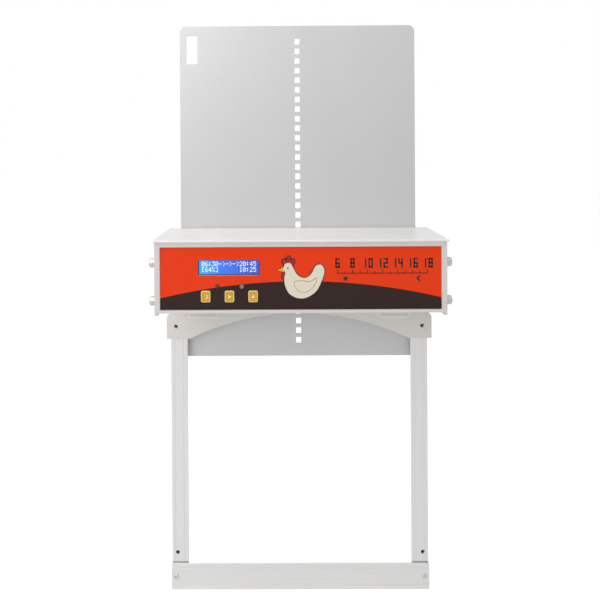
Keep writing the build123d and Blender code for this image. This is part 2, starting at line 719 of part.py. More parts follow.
# ---------------------------------------------------------------- drive
gearbox_x = (10, 35)
gearbox_y = (drive_axis_y - 31, drive_axis_y + 15)
gearbox_height = 32
motor_r = 12.2
motor_x = 22.5
motor_rise = 3.5
motor_tail_y = -83
terminal_y = motor_tail_y - 2.5
drive_z = up(drive_axis_height)
bracket_x = (8, 10)
terminal_x = motor_x - 4.5
terminal_rises = (-4, 4)
gear_screw_r = 1.5
gear_screw_places = [(y, z) for y in (drive_axis_y - 18, drive_axis_y + 9) for z in (drive_z - 11, drive_z + 11)]

with BuildPart() as gearbox:
    block(gearbox_x, gearbox_y, centred(drive_z, gearbox_height))
    fillet(gearbox.edges().filter_by(Axis.X), 2)
    rod_x(drive_axis_y, drive_z, (gearbox_x[0] - 1, gearbox_x[1] + 1), shaft_r + running_gap, Mode.SUBTRACT)
    for y, z in gear_screw_places:
        rod_x(y, z, (gearbox_x[0] - 1, gearbox_x[0] + 6), gear_screw_r + running_gap, Mode.SUBTRACT)
gearbox.part.label = "gearbox"
export_step(gearbox.part, "parts/gearbox.step")

with BuildPart() as motor:
    rod_y(motor_x, drive_z + motor_rise, (motor_tail_y, gearbox_y[0]), motor_r)
    fillet(motor.edges().group_by(Axis.Y)[0], 1.5)
    for rise in terminal_rises:
        rod_y(terminal_x, drive_z + motor_rise + rise, (terminal_y, motor_tail_y), 0.7)
motor.part.label = "motor"
export_step(motor.part, "parts/motor.step")

# The motor bracket is an angle on the box floor, cut away where it passes through the back wall.
bracket_y = (-54, -9.5)
bracket_top = 396
bracket_step = (-21, 356.5)
bracket_foot_x = 32
bracket_foot_y = -26
with BuildPart() as motor_bracket:
    block(bracket_x, bracket_y, (floor_z[1], up(bracket_top)))
    block(bracket_x, (bracket_step[0], bracket_y[1] + 1), (floor_z[1] - 1, up(bracket_step[1])), Mode.SUBTRACT)
    foot_span = (bracket_x[0], bracket_foot_x)
    block(foot_span, (bracket_y[0], bracket_foot_y), (floor_z[1], floor_z[1] + bracket_x[1] - bracket_x[0]))
    bracket_through_x = (bracket_x[0] - 1, bracket_x[1] + 1)
    rod_x(drive_axis_y, drive_z, bracket_through_x, shaft_r + 1, Mode.SUBTRACT)
    for y, z in gear_screw_places:
        rod_x(y, z, bracket_through_x, gear_screw_r + 0.1, Mode.SUBTRACT)
motor_bracket.part.label = "motor_bracket"
export_step(motor_bracket.part, "parts/motor_bracket.step")

gear_screw = pan_screw(2.8, 2.0, gear_screw_r, 7)
with BuildPart() as gearbox_screws:
    for y, z in gear_screw_places:
        with Locations(facing_side(-1, bracket_x[0], y, z)):
            add(gear_screw)
gearbox_screws.part.label = "gearbox_screws"
export_step(gearbox_screws.part, "parts/gearbox_screws.step")

tooth_root = 4.4
tooth_tip = 2.6
wheel_r = pitch_r - 2.2
wheel_half_width = 2.4
hub_r = 7
hub_x = (-9.5, -wheel_half_width)
shaft_x = (-10.5, 34.5)
tip_r = pitch_r + tooth_reach
grub_x = sum(hub_x) / 2
grub_r = 1.45

with BuildPart() as drive_sprocket:
    with BuildSketch(Plane(origin=(-wheel_half_width, drive_axis_y, drive_z), x_dir=(0, 1, 0), z_dir=(1, 0, 0))):
        Circle(wheel_r)
        with PolarLocations(0, sprocket_teeth):
            Polygon((wheel_r - 1, -tooth_root / 2), (tip_r, -tooth_tip / 2),
                    (tip_r, tooth_tip / 2), (wheel_r - 1, tooth_root / 2), align=None)
    extrude(amount=2 * wheel_half_width)
    rod_x(drive_axis_y, drive_z, hub_x, hub_r)
    rod_x(drive_axis_y, drive_z, (hub_x[0] - 1, wheel_half_width + 1), shaft_r, Mode.SUBTRACT)
    rod_y(grub_x, drive_z, (drive_axis_y - hub_r - 1, drive_axis_y), grub_r + running_gap, Mode.SUBTRACT)
drive_sprocket.part.label = "drive_sprocket"
export_step(drive_sprocket.part, "parts/drive_sprocket.step")

with BuildPart() as output_shaft:
    rod_x(drive_axis_y, drive_z, shaft_x, shaft_r)
    chamfer(output_shaft.edges(), 0.4)
output_shaft.part.label = "output_shaft"
export_step(output_shaft.part, "parts/output_shaft.step")

with BuildPart() as hub_grub_screw:
    rod_y(grub_x, drive_z, (drive_axis_y - hub_r + 0.5, drive_axis_y - shaft_r), grub_r)
hub_grub_screw.part.label = "hub_grub_screw"
export_step(hub_grub_screw.part, "parts/hub_grub_screw.step")

# ---------------------------------------------------------------- closed-position switch
plunger_x, plunger_z = plunger_place[0], up(plunger_place[1])
plunger_r = 1.84
switch_front_y = -31
switch_bore_y = -27
with BuildPart() as limit_switch:
    block(centred(plunger_x, 20), (switch_front_y, back_y[0]), centred(plunger_z, 6.4))
    rod_y(plunger_x, plunger_z, (switch_bore_y, back_y[0] + 1), plunger_r + 0.06, Mode.SUBTRACT)
limit_switch.part.label = "limit_switch"
export_step(limit_switch.part, "parts/limit_switch.step")

with BuildPart() as limit_plunger:
    rod_y(plunger_x, plunger_z, (switch_bore_y + 2.5, door_y[0] - 0.4), plunger_r)
    fillet(limit_plunger.edges().group_by(Axis.Y)[-1], 1.2)
limit_plunger.part.label = "limit_plunger"
export_step(limit_plunger.part, "parts/limit_plunger.step")

# ---------------------------------------------------------------- batteries and wiring
holder_x = (50, 108)
holder_y = (-86.5, -24.7)
holder_z = (up(box_floor + sheet_t), up(box_floor + sheet_t + 15))
holder_wall = 1.2
cell_button_r = 2.7
cell_r = 7.1
cell_length = 50.5
cell_pitch = 14.8
cell_z = holder_z[0] + holder_wall + cell_r + 0.1
cell_ys = [sum(holder_y) / 2 + cell_pitch * (i - 1.5) for i in range(4)]

with BuildPart() as battery_holder:
    block(holder_x, holder_y, holder_z)
    inside_x = (holder_x[0] + holder_wall, holder_x[1] - holder_wall)
    inside_y = (holder_y[0] + holder_wall, holder_y[1] - holder_wall)
    block(inside_x, inside_y, (holder_z[0] + holder_wall, holder_z[1] + 1), Mode.SUBTRACT)
battery_holder.part.label = "battery_holder"
export_step(battery_holder.part, "parts/battery_holder.step")

with BuildPart() as battery_cells:
    for i, y in enumerate(cell_ys):
        way = 1 if i % 2 else -1
        middle = sum(holder_x) / 2
        rod_x(y, cell_z, centred(middle, cell_length - 1.2), cell_r)
        rod_x(y, cell_z, sorted((middle, middle + way * cell_length / 2)), cell_button_r)
battery_cells.part.label = "battery_cells"
export_step(battery_cells.part, "parts/battery_cells.step")

with BuildPart() as battery_contacts:
    for y in cell_ys:
        for x in (inside_x[0] + 0.25, inside_x[1] - 0.25):
            block(centred(x, 0.5), centred(y, 9), centred(cell_z, 9))
battery_contacts.part.label = "battery_contacts"
export_step(battery_contacts.part, "parts/battery_contacts.step")

wire_r = 0.7
motor_lead_y = -89
motor_lead_end_x = -30.5
battery_lead_y = -66
battery_lead_end_x = -34
battery_lead_heights = (358.5, 361)
with BuildPart() as motor_leads:
    for rise in terminal_rises:
        wire_z = drive_z + motor_rise + rise
        wire_points = [(terminal_x, terminal_y, wire_z), (terminal_x, motor_lead_y, wire_z),
                       (motor_lead_end_x, motor_lead_y, wire_z), (motor_lead_end_x, control_board_y[0], wire_z)]
        add(lead(wire_points, 2.5, wire_r))
motor_leads.part.label = "motor_leads"
export_step(motor_leads.part, "parts/motor_leads.step")

with BuildPart() as battery_leads:
    for height in battery_lead_heights:
        wire_points = [(holder_x[0], battery_lead_y, up(height)), (battery_lead_end_x, battery_lead_y, up(height)),
                       (battery_lead_end_x, control_board_y[1], up(height))]
        add(lead(wire_points, 5, wire_r))
battery_leads.part.label = "battery_leads"
export_step(battery_leads.part, "parts/battery_leads.step")
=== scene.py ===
import json
from math import cos, pi, radians, sin

import bpy
import numpy as np
from mathutils import Matrix, Vector


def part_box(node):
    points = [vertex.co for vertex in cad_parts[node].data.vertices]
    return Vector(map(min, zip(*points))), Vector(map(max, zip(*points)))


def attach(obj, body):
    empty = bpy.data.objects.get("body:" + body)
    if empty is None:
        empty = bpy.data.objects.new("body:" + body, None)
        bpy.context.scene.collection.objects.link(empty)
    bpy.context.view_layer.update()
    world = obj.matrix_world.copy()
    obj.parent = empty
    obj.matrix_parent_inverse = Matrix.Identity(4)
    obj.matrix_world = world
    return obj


# An automatic coop door: a punched aluminium sheet in two side rails, lifted by a sprocket in a
# white control box. Metres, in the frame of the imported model. Heights are from the underside.

MM = 0.001
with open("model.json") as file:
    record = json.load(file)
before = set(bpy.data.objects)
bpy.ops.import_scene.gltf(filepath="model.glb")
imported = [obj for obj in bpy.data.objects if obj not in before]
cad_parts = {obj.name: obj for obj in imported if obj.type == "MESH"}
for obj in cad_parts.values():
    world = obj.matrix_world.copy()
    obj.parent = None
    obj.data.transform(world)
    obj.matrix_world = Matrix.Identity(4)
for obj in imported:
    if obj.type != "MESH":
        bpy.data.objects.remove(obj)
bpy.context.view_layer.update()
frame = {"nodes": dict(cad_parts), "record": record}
scene = bpy.context.scene
scene.view_settings.view_transform = "Standard"
scene.view_settings.look = "None"

foot_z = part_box("bottom_rail")[0].z
film_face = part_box("front_overlay")[0].y
glass_low, glass_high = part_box("lcd_glass")
glass_middle = np.array([(glass_low.x + glass_high.x) / 2, (glass_low.z + glass_high.z) / 2])
print_thickness = 0.05 * MM


def up(height_mm):
    """Z in metres of a height in millimetres above the underside of the bottom rail."""
    return foot_z + height_mm * MM


# ---------------------------------------------------------------- shader nodes
def add_node(tree, kind, inputs=None, **settings):
    """A node with its settings, whose inputs are values or another node's output."""
    made = tree.nodes.new(kind)
    for name, value in settings.items():
        setattr(made, name, value)
    for key, value in (inputs or {}).items():
        if isinstance(value, bpy.types.NodeSocket):
            tree.links.new(value, made.inputs[key])
        else:
            made.inputs[key].default_value = value
    return made


def new_group(name, inputs, outputs):
    """An empty shader node group with named sockets, and its input and output nodes."""
    tree = bpy.data.node_groups.new(name, "ShaderNodeTree")
    for label, kind, value in inputs:
        socket = tree.interface.new_socket(label, in_out="INPUT", socket_type=kind)
        if value is not None:
            socket.default_value = value
    for label, kind in outputs:
        tree.interface.new_socket(label, in_out="OUTPUT", socket_type=kind)
    return tree, tree.nodes.new("NodeGroupInput"), tree.nodes.new("NodeGroupOutput")


def math(tree, operation, first, second=0.0, third=None):
    """The output of one Math node."""
    values = {0: first, 1: second}
    if third is not None:
        values[2] = third
    return add_node(tree, "ShaderNodeMath", values, operation=operation).outputs[0]


def axes_of(tree, place):
    """The three sockets of a place's coordinates."""
    return add_node(tree, "ShaderNodeSeparateXYZ", {0: place}).outputs


def mask_between(tree, value, start, stop, low=0.0, high=1.0):
    """A mask that goes from low to high as the value goes from start to stop."""
    return add_node(tree, "ShaderNodeMapRange", {0: value, 1: start, 2: stop, 3: low, 4: high}).outputs[0]


def distance_from(tree, value, centre):
    """How far a value is from a centre, on either side."""
    return math(tree, "ABSOLUTE", math(tree, "SUBTRACT", value, centre))


def hypotenuse(tree, first, second):
    """The square root of the sum of two squares."""
    squares = math(tree, "ADD", math(tree, "MULTIPLY", first, first), math(tree, "MULTIPLY", second, second))
    return math(tree, "SQRT", squares)


def grain_group():
    """Fine grain over broad clouding: both shift a colour's tone, the roughness and a height."""
    tree, given, out = new_group(
        "surface_grain",
        [("Vector", "NodeSocketVector", None), ("Stretch", "NodeSocketVector", (1, 1, 1)),
         ("Scale", "NodeSocketFloat", 900.0), ("Colour", "NodeSocketColor", (0.8, 0.8, 0.8, 1)),
         ("Tone", "NodeSocketFloat", 0.04), ("Clouding", "NodeSocketFloat", 0.03),
         ("Rough", "NodeSocketFloat", 0.4), ("Rough Span", "NodeSocketFloat", 0.08)],
        [("Colour", "NodeSocketColor"), ("Roughness", "NodeSocketFloat"), ("Height", "NodeSocketFloat")])
    taken = given.outputs
    stretched = add_node(tree, "ShaderNodeVectorMath", {0: taken["Vector"], 1: taken["Stretch"]},
                         operation="MULTIPLY").outputs[0]
    fine = add_node(tree, "ShaderNodeTexNoise", {"Vector": stretched, "Scale": taken["Scale"],
                                                 "Detail": 4.0, "Roughness": 0.65}).outputs[0]
    broad = add_node(tree, "ShaderNodeTexNoise", {"Vector": taken["Vector"], "Scale": 14.0,
                                                  "Detail": 2.0}).outputs[0]
    fine_shift = math(tree, "MULTIPLY", math(tree, "SUBTRACT", fine, 0.5), taken["Tone"])
    broad_shift = math(tree, "MULTIPLY", math(tree, "SUBTRACT", broad, 0.5), taken["Clouding"])
    gain = math(tree, "ADD", math(tree, "MULTIPLY_ADD", fine_shift, 2.0, 1.0), broad_shift)
    tinted = add_node(tree, "ShaderNodeVectorMath", {0: taken["Colour"], "Scale": gain}, operation="SCALE")
    both = math(tree, "SUBTRACT", math(tree, "ADD", fine, broad), 1.0)
    rough_shift = math(tree, "MULTIPLY", both, taken["Rough Span"])
    roughness = math(tree, "ADD", rough_shift, taken["Rough"])
    tree.links.new(tinted.outputs[0], out.inputs["Colour"])
    tree.links.new(roughness, out.inputs["Roughness"])
    tree.links.new(fine, out.inputs["Height"])
    return tree


GRAIN = grain_group()
grain_depth = 0.2 * MM


def make_finish(name, colour, rough, metallic=0.0, grain=900.0, stretch=(1, 1, 1), tone=0.04,
                clouding=0.03, rough_span=0.08, bump=0.02, edge_mm=0.25, coat=0.0, settings=None):
    """A Principled material whose colour, roughness and relief come from the grain group.
    The colour is three numbers, or a function of (tree, object coordinates) that returns a socket."""
    material = bpy.data.materials.new(name)
    material.use_nodes = True
    tree = material.node_tree
    shader = tree.nodes["Principled BSDF"]
    place = add_node(tree, "ShaderNodeTexCoord").outputs["Object"]
    inputs = {"Vector": place, "Stretch": stretch, "Scale": grain, "Tone": tone, "Clouding": clouding,
              "Rough": rough, "Rough Span": rough_span}
    inputs["Colour"] = colour(tree, place) if callable(colour) else (*colour, 1)
    surface = add_node(tree, "ShaderNodeGroup", inputs, node_tree=GRAIN)
    soft_edge = add_node(tree, "ShaderNodeBevel", {"Radius": edge_mm * MM}, samples=4)
    relief = add_node(tree, "ShaderNodeBump", {"Height": surface.outputs["Height"], "Strength": bump,
                                               "Distance": grain_depth, "Normal": soft_edge.outputs[0]})
    tree.links.new(surface.outputs["Colour"], shader.inputs["Base Color"])
    tree.links.new(surface.outputs["Roughness"], shader.inputs["Roughness"])
    tree.links.new(relief.outputs[0], shader.inputs["Normal"])
    shader.inputs["Metallic"].default_value = metallic
    shader.inputs["Coat Weight"].default_value = coat
    shader.inputs["Coat Roughness"].default_value = 0.08
    for key, value in (settings or {}).items():
        shader.inputs[key].default_value = value
    return material


# ---------------------------------------------------------------- patterns
ORANGE = (0.90, 0.050, 0.006)
BROWN = (0.036, 0.0185, 0.0165)
EXTRUSION = (0.88, 0.872, 0.865)
# The colour of the painted shade line in the crease where the rails meet the bottom rail's wall.
JOINT_SHADE = (0.16, 0.155, 0.15)
TAB_GREY = (0.74, 0.72, 0.69)
# The paler grey of the painted highlight along the hanger tabs' side and foot edges.
TAB_EDGE_LIGHT = (0.97, 0.95, 0.93)
KEY_GOLD = (0.74, 0.37, 0.03)
KEY_BORDER = (1.0, 0.80, 0.36)
BOARD_MASK = (0.012, 0.085, 0.035)
BOARD_TRACE = (0.03, 0.2, 0.085)
BOARD_TIN = (0.55, 0.56, 0.54)
CELL_SLEEVE = (0.03, 0.035, 0.04)
CELL_COPPER = (0.55, 0.24, 0.09)

wave_half_width = 144.7 * MM
wave_apex = up(378.1)
wave_rise = 17.1 * MM
wave_r = (wave_half_width**2 + wave_rise**2) / (2 * wave_rise)
wave_blur = 0.12 * MM
lit_half = (30.7 * MM, 6.9 * MM)
lit_fade = 0.5 * MM
cell_band = 15 * MM
joint_z = up(31.5)
tab_half_width = 17 * MM
tab_lit_side = 1.0 * MM
tab_lit_foot = 1.2 * MM
key_half = (4.85 * MM, 5.9 * MM)
key_corner = 1.6 * MM


def mix_colour(tree, mask, first, second):
    """The second colour where the mask is one, the first where it is nought."""
    mix = add_node(tree, "ShaderNodeMix", {"Factor": mask}, data_type="RGBA")
    for socket, value in ((mix.inputs[6], first), (mix.inputs[7], second)):
        if isinstance(value, bpy.types.NodeSocket):
            tree.links.new(value, socket)
        else:
            socket.default_value = (*value, 1)
    return mix.outputs[2]


def overlay_print(tree, place):
    """Orange film with dark brown under one large circle's arc."""
    axes = axes_of(tree, place)
    rise = math(tree, "SUBTRACT", axes[2], wave_apex - wave_r)
    radius = hypotenuse(tree, axes[0], rise)
    mask = mask_between(tree, radius, wave_r - wave_blur, wave_r + wave_blur)
    return mix_colour(tree, mask, BROWN, ORANGE)


def display_glow(tree, place):
    """Pale cyan at the left of the display, deep blue at the right, dark outside the lit field."""
    axes = axes_of(tree, place)
    along = mask_between(tree, axes[0], glass_low.x, glass_high.x)
    ramp = add_node(tree, "ShaderNodeValToRGB", {0: along})
    ramp.color_ramp.elements[0].color = (0.03, 0.40, 0.82, 1)
    ramp.color_ramp.elements[1].color = (0.016, 0.035, 0.42, 1)
    middle = ramp.color_ramp.elements.new(0.38)
    middle.color = (0.004, 0.15, 0.80, 1)
    past_x = math(tree, "SUBTRACT", distance_from(tree, axes[0], glass_middle[0]), lit_half[0])
    past_z = math(tree, "SUBTRACT", distance_from(tree, axes[2], glass_middle[1]), lit_half[1])
    border = mask_between(tree, math(tree, "MAXIMUM", past_x, past_z), 0.0, lit_fade)
    return mix_colour(tree, border, ramp.outputs[0], (0.012, 0.022, 0.16))


def board_print(tree, place):
    """A green board crossed by fine paler traces with tinned pads between them."""
    traces = add_node(tree, "ShaderNodeTexBrick", {"Vector": place, "Scale": 160.0, "Mortar Size": 0.06,
                                                   "Mortar Smooth": 0.2}, offset=0.37)
    pads = add_node(tree, "ShaderNodeTexVoronoi", {"Vector": place, "Scale": 300.0}).outputs["Distance"]
    green = mix_colour(tree, traces.outputs["Fac"], BOARD_MASK, BOARD_TRACE)
    return mix_colour(tree, mask_between(tree, pads, 0.16, 0.13), green, BOARD_TIN)


def cell_print(tree, place):
    """A plain dark sleeve with a copper-coloured band at one end of each cell."""
    band_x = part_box("battery_cells")[1].x - cell_band
    band = mask_between(tree, axes_of(tree, place)[0], band_x, band_x + 0.2 * MM)
    return mix_colour(tree, band, CELL_SLEEVE, CELL_COPPER)


def rail_tone(tree, place):
    """Bare extrusion, with a painted shade line where the bottom rail's wall meets it."""
    off = distance_from(tree, axes_of(tree, place)[2], joint_z)
    line = mask_between(tree, off, 0.9 * MM, 0.4 * MM, 0.0, 0.75)
    return mix_colour(tree, line, EXTRUSION, JOINT_SHADE)


def tab_tone(tree, place):
    """Grey powder coat, with a painted highlight along the sides and the foot of each hanger tab."""
    low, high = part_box("hanger_tabs")
    axes = axes_of(tree, place)
    off_side = distance_from(tree, math(tree, "ABSOLUTE", axes[0]), high.x - tab_half_width)
    past_side = math(tree, "SUBTRACT", off_side, tab_half_width - tab_lit_side)
    past_foot = math(tree, "SUBTRACT", low.z + tab_lit_foot, axes[2])
    edge = math(tree, "MAXIMUM", past_side, past_foot)
    return mix_colour(tree, mask_between(tree, edge, -0.3 * MM, 0.1 * MM), TAB_GREY, TAB_EDGE_LIGHT)


def key_print(node):
    """The colour of a golden key with a paler rounded border near its edge."""
    low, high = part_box(node)
    middle = (low + high) / 2

    def gold_and_border(tree, place):
        """Distance past the inner rectangle, as a rounded corner's radius, marks the border."""
        axes = axes_of(tree, place)
        past = []
        for axis, half in zip((0, 2), key_half):
            off = distance_from(tree, axes[axis], middle[axis])
            past.append(math(tree, "MAXIMUM", math(tree, "SUBTRACT", off, half - key_corner), 0.0))
        border = mask_between(tree, hypotenuse(tree, *past), 0.75 * MM, 1.05 * MM)
        return mix_colour(tree, border, KEY_GOLD, KEY_BORDER)

    return gold_and_border


# ---------------------------------------------------------------- finishes, one for each slot
ALONG_Z = (1, 1, 0.012)
ALONG_X = (0.012, 1, 1)
finishes = {
    "raw_aluminium": make_finish("raw_aluminium", (0.66, 0.66, 0.66), 0.45, 0.45, grain=1500, tone=0.09,
                                 clouding=0.035, rough_span=0.1, bump=0.10, edge_mm=0.2),
    "extruded_aluminium": make_finish("extruded_aluminium", rail_tone, 0.4, 0.5, grain=1300,
                                      stretch=ALONG_Z, tone=0.07, rough_span=0.12, bump=0.12),
    "white_powder": make_finish("white_powder", (0.93, 0.905, 0.89), 0.22, grain=1700, tone=0.012,
                                clouding=0.015, rough_span=0.05, bump=0.05, edge_mm=0.35, coat=0.6),
    "grey_powder": make_finish("grey_powder", (0.80, 0.775, 0.74), 0.38, grain=1700, tone=0.02,
                               rough_span=0.06, bump=0.08, edge_mm=0.4),
    "overlay_print": make_finish("overlay_print", overlay_print, 0.42, grain=2600, tone=0.05,
                                 rough_span=0.06, bump=0.03, edge_mm=0.1,
                                 settings={"Specular IOR Level": 0.18}),
    "backlight": make_finish("backlight", (0.72, 0.8, 0.86), 0.5),
    "bezel_black": make_finish("bezel_black", (0.02, 0.02, 0.022), 0.4),
    "board_green": make_finish("board_green", board_print, 0.3, coat=0.4),
    "black_plastic": make_finish("black_plastic", (0.022, 0.022, 0.024), 0.42, grain=1200, bump=0.12),
    "led_dark": make_finish("led_dark", (0.035, 0.02, 0.018), 0.12, coat=0.8),
    "zinc_steel": make_finish("zinc_steel", (0.70, 0.69, 0.67), 0.3, 1.0, grain=2000, tone=0.06, bump=0.08,
                              edge_mm=0.15),
    "white_acetal": make_finish("white_acetal", (0.82, 0.81, 0.77), 0.35),
    "gear_grey": make_finish("gear_grey", (0.33, 0.34, 0.35), 0.45, 0.8, grain=700, bump=0.2),
    "motor_steel": make_finish("motor_steel", (0.6, 0.6, 0.6), 0.28, 1.0, grain=1000, stretch=(1, 0.02, 1)),
    "cell_skin": make_finish("cell_skin", cell_print, 0.25, coat=0.5),
    "red_wire": make_finish("red_wire", (0.55, 0.02, 0.015), 0.4),
    "brass_contact": make_finish("brass_contact", (0.72, 0.5, 0.2), 0.3, 1.0),
    "lcd_blue": make_finish("lcd_blue", display_glow, 0.3, tone=0.02,
                            settings={"Specular IOR Level": 0.1, "Emission Strength": 0.35}),
    "clear_lens": make_finish("clear_lens", (0.30, 0.30, 0.31), 0.08, tone=0.01, bump=0.0, coat=1.0,
                              settings={"Transmission Weight": 0.35, "IOR": 1.45}),
    "clear_window": make_finish("clear_window", (0.9, 0.95, 1.0), 0.05, tone=0.01, bump=0.0,
                                settings={"Alpha": 0.05, "Specular IOR Level": 0.15}),
}
# The display glows in its own colours.
lcd_tree = finishes["lcd_blue"].node_tree
lcd_inputs = lcd_tree.nodes["Principled BSDF"].inputs
lcd_tree.links.new(lcd_inputs["Base Color"].links[0].from_socket, lcd_inputs["Emission Color"])

sill_finish = make_finish("sill_aluminium", EXTRUSION, 0.4, 0.5, grain=1300, stretch=ALONG_X,
                          tone=0.07, rough_span=0.12, bump=0.12)
# A darker copy of the white powder coat, as painted shade on the front faces of the box body and end plates.
shaded_shell_finish = make_finish("shaded_shell_powder", (0.76, 0.725, 0.705), 0.3, grain=1700, tone=0.012,
                           clouding=0.02, rough_span=0.05, bump=0.05, edge_mm=0.35, coat=0.3)
tab_finish = make_finish("tab_powder", tab_tone, 0.35, grain=1700, bump=0.06, edge_mm=0.5)
own_finish = {"bottom_rail": sill_finish, "rear_tie_bar": sill_finish, "hanger_tabs": tab_finish,
              "box_body": shaded_shell_finish, "end_plate_left": shaded_shell_finish, "end_plate_right": shaded_shell_finish}
for node in ("button_return", "button_next", "button_up"):
    own_finish[node] = make_finish(f"{node}_finish", key_print(node), 0.4, bump=0.06)
for entry in frame["record"]["subparts"]:
    node, slot = entry["node"], entry["material_slot"]
    finish = own_finish[node] if node in own_finish else finishes[slot]
    for holder in frame["nodes"][node].material_slots:
        holder.material = finish

ink_dark = make_finish("dark_ink", (0.035, 0.014, 0.01), 0.36, edge_mm=0.02)
ink_cream = make_finish("cream_ink", (0.86, 0.78, 0.62), 0.36, tone=0.02, edge_mm=0.02)
ink_red = make_finish("red_ink", (0.42, 0.012, 0.015), 0.36, edge_mm=0.02)
ink_yellow = make_finish("yellow_ink", (0.86, 0.42, 0.04), 0.36, edge_mm=0.02)
ink_pale = make_finish("pale_ink", (1.0, 0.88, 0.60), 0.36, edge_mm=0.02)
dot_glow = make_finish("display_dots", (0.72, 0.88, 1.0), 0.3, tone=0.02, edge_mm=0.02,
                       settings={"Emission Color": (0.72, 0.9, 1.0, 1), "Emission Strength": 0.75})


# ---------------------------------------------------------------- flat printed shapes
def smooth_loop(points, steps=8):
    """A closed curve through the points: between two of them, the cubic whose end slopes are
    half the chord between their neighbours, sampled at even steps."""
    p = np.array(points, float)
    before, after, beyond = np.roll(p, 1, 0), np.roll(p, -1, 0), np.roll(p, -2, 0)
    t = (np.arange(steps) / steps)[None, :, None]
    p0, p1, p2, p3 = (a[:, None, :] for a in (before, p, after, beyond))
    curve = 0.5 * (2 * p1 + (p2 - p0) * t + (2 * p0 - 5 * p1 + 4 * p2 - p3) * t**2
                   + (3 * p1 - p0 - 3 * p2 + p3) * t**3)
    return curve.reshape(-1, 2)


def grown(outline, by):
    """The outline with each point moved outwards along the normal of its neighbours' chord."""
    chord = np.roll(outline, -1, 0) - np.roll(outline, 1, 0)
    normal = np.stack([chord[:, 1], -chord[:, 0]], 1)
    normal /= np.linalg.norm(normal, axis=1)[:, None]
    x, z = outline[:, 0], outline[:, 1]
    turning = np.sum(x * np.roll(z, -1) - np.roll(x, -1) * z)
    return outline + normal * by * np.sign(turning)


def oval(x, z, half_x, half_z, steps=32, start=0.0, stop=2 * pi):
    """Points on an ellipse from one angle to another."""
    angle = start + (stop - start) * np.arange(steps) / steps
    return np.stack([x + half_x * np.cos(angle), z + half_z * np.sin(angle)], 1)


def plate(name, outlines, front_y, thickness, material, body="frame"):
    """Flat closed plates: each outline's points at the front and again at the back, with a front
    face, a back face and one quad for each stretch of the rim."""
    points, faces = [], []
    for outline in outlines:
        x, z = outline[:, 0], outline[:, 1]
        if np.sum(x * np.roll(z, -1) - np.roll(x, -1) * z) < 0:
            outline = outline[::-1]
        count, start = len(outline), sum(len(block) for block in points)
        front = np.stack([outline[:, 0], np.full(count, front_y), outline[:, 1]], 1)
        points += [front, front + np.array([0, thickness, 0])]
        i = start + np.arange(count)
        j = start + np.roll(np.arange(count), -1)
        faces += [i.tolist(), (i[::-1] + count).tolist()]
        faces += np.stack([j, i, i + count, j + count], 1).tolist()
    mesh = bpy.data.meshes.new(name)
    mesh.from_pydata(np.concatenate(points).tolist(), [], faces)
    return place_piece(name, mesh, material, body)


def place_piece(name, mesh, material, body):
    """Links a finished mesh as a piece that rides on a body."""
    mesh.materials.append(material)
    piece = bpy.data.objects.new(name, mesh)
    scene.collection.objects.link(piece)
    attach(piece, body)
    return piece


def bar(x0, x1, z0, z1):
    """The four corners of an upright bar."""
    return np.array([(x0, z0), (x1, z0), (x1, z1), (x0, z1)], float)


DIGIT_BARS = {"0": "tuUlLb", "1": "UL", "2": "tUmlb", "4": "uUmL", "6": "tumlLb", "8": "tuUmlLb"}


def numeral_bars(digits, x, z, width, height, stroke):
    """Squared numerals about a point: each digit is some of seven bars round two stacked squares,
    the top, middle and bottom ones, and the upper and lower ones at the left and the right."""
    shapes = []
    pitch = width + 1.3 * stroke
    for place, digit in enumerate(digits):
        left = x + (place - (len(digits) - 1) / 2) * pitch - width / 2
        right, low, high = left + width, z - height / 2, z + height / 2
        strokes = {"t": bar(left, right, high - stroke, high), "b": bar(left, right, low, low + stroke),
                   "m": bar(left, right, z - stroke / 2, z + stroke / 2),
                   "u": bar(left, left + stroke, z, high), "l": bar(left, left + stroke, low, z),
                   "U": bar(right - stroke, right, z, high), "L": bar(right - stroke, right, low, z)}
        shapes += [strokes[name] for name in DIGIT_BARS[digit]]
    return shapes


def film_print(name, outlines, material, layer=1):
    """Printed shapes lying on the film, higher layers a little further out."""
    front = film_face - layer * print_thickness
    return plate(name, outlines, front, layer * print_thickness, material)


# ---------------------------------------------------------------- hen emblem
hen_x, hen_z, hen_size = 1.0 * MM, up(376), 25 * MM
outline_grow = 1.0 * MM
wing_line_width = 0.35 * MM


def on_film(points):
    """Emblem units to metres on the film."""
    return np.array(points, float) * hen_size + np.array([hen_x, hen_z])


hen_body = smooth_loop(on_film([
    (-0.74, 0.60), (-0.66, 0.80), (-0.46, 0.82), (-0.33, 0.62), (-0.16, 0.34), (0.12, 0.22),
    (0.38, 0.36), (0.60, 0.72), (0.84, 0.74), (0.94, 0.48), (0.82, 0.08), (0.60, -0.32),
    (0.22, -0.58), (-0.18, -0.60), (-0.52, -0.40), (-0.68, -0.06), (-0.70, 0.24), (-0.66, 0.42)]))
hen_comb = smooth_loop(on_film([
    (-0.70, 0.74), (-0.80, 0.92), (-0.68, 1.00), (-0.62, 0.90), (-0.56, 1.10), (-0.46, 1.06),
    (-0.46, 0.92), (-0.36, 1.00), (-0.28, 0.90), (-0.38, 0.74)]))
hen_wattle = smooth_loop(on_film([
    (-0.74, 0.44), (-0.80, 0.26), (-0.70, 0.16), (-0.62, 0.30), (-0.64, 0.44)]))
hen_wing = smooth_loop(on_film([
    (-0.26, 0.06), (0.04, 0.10), (0.34, 0.06), (0.62, 0.20), (0.50, -0.12), (0.22, -0.34),
    (-0.08, -0.32), (-0.26, -0.14)]))
hen_beak = on_film([(-0.72, 0.68), (-1.0, 0.54), (-0.72, 0.46)])
eye_x, eye_z = on_film((-0.56, 0.62))
coloured = (hen_body, hen_comb, hen_wattle, hen_beak)
film_print("emblem_outline", [grown(shape, outline_grow) for shape in coloured], ink_dark)
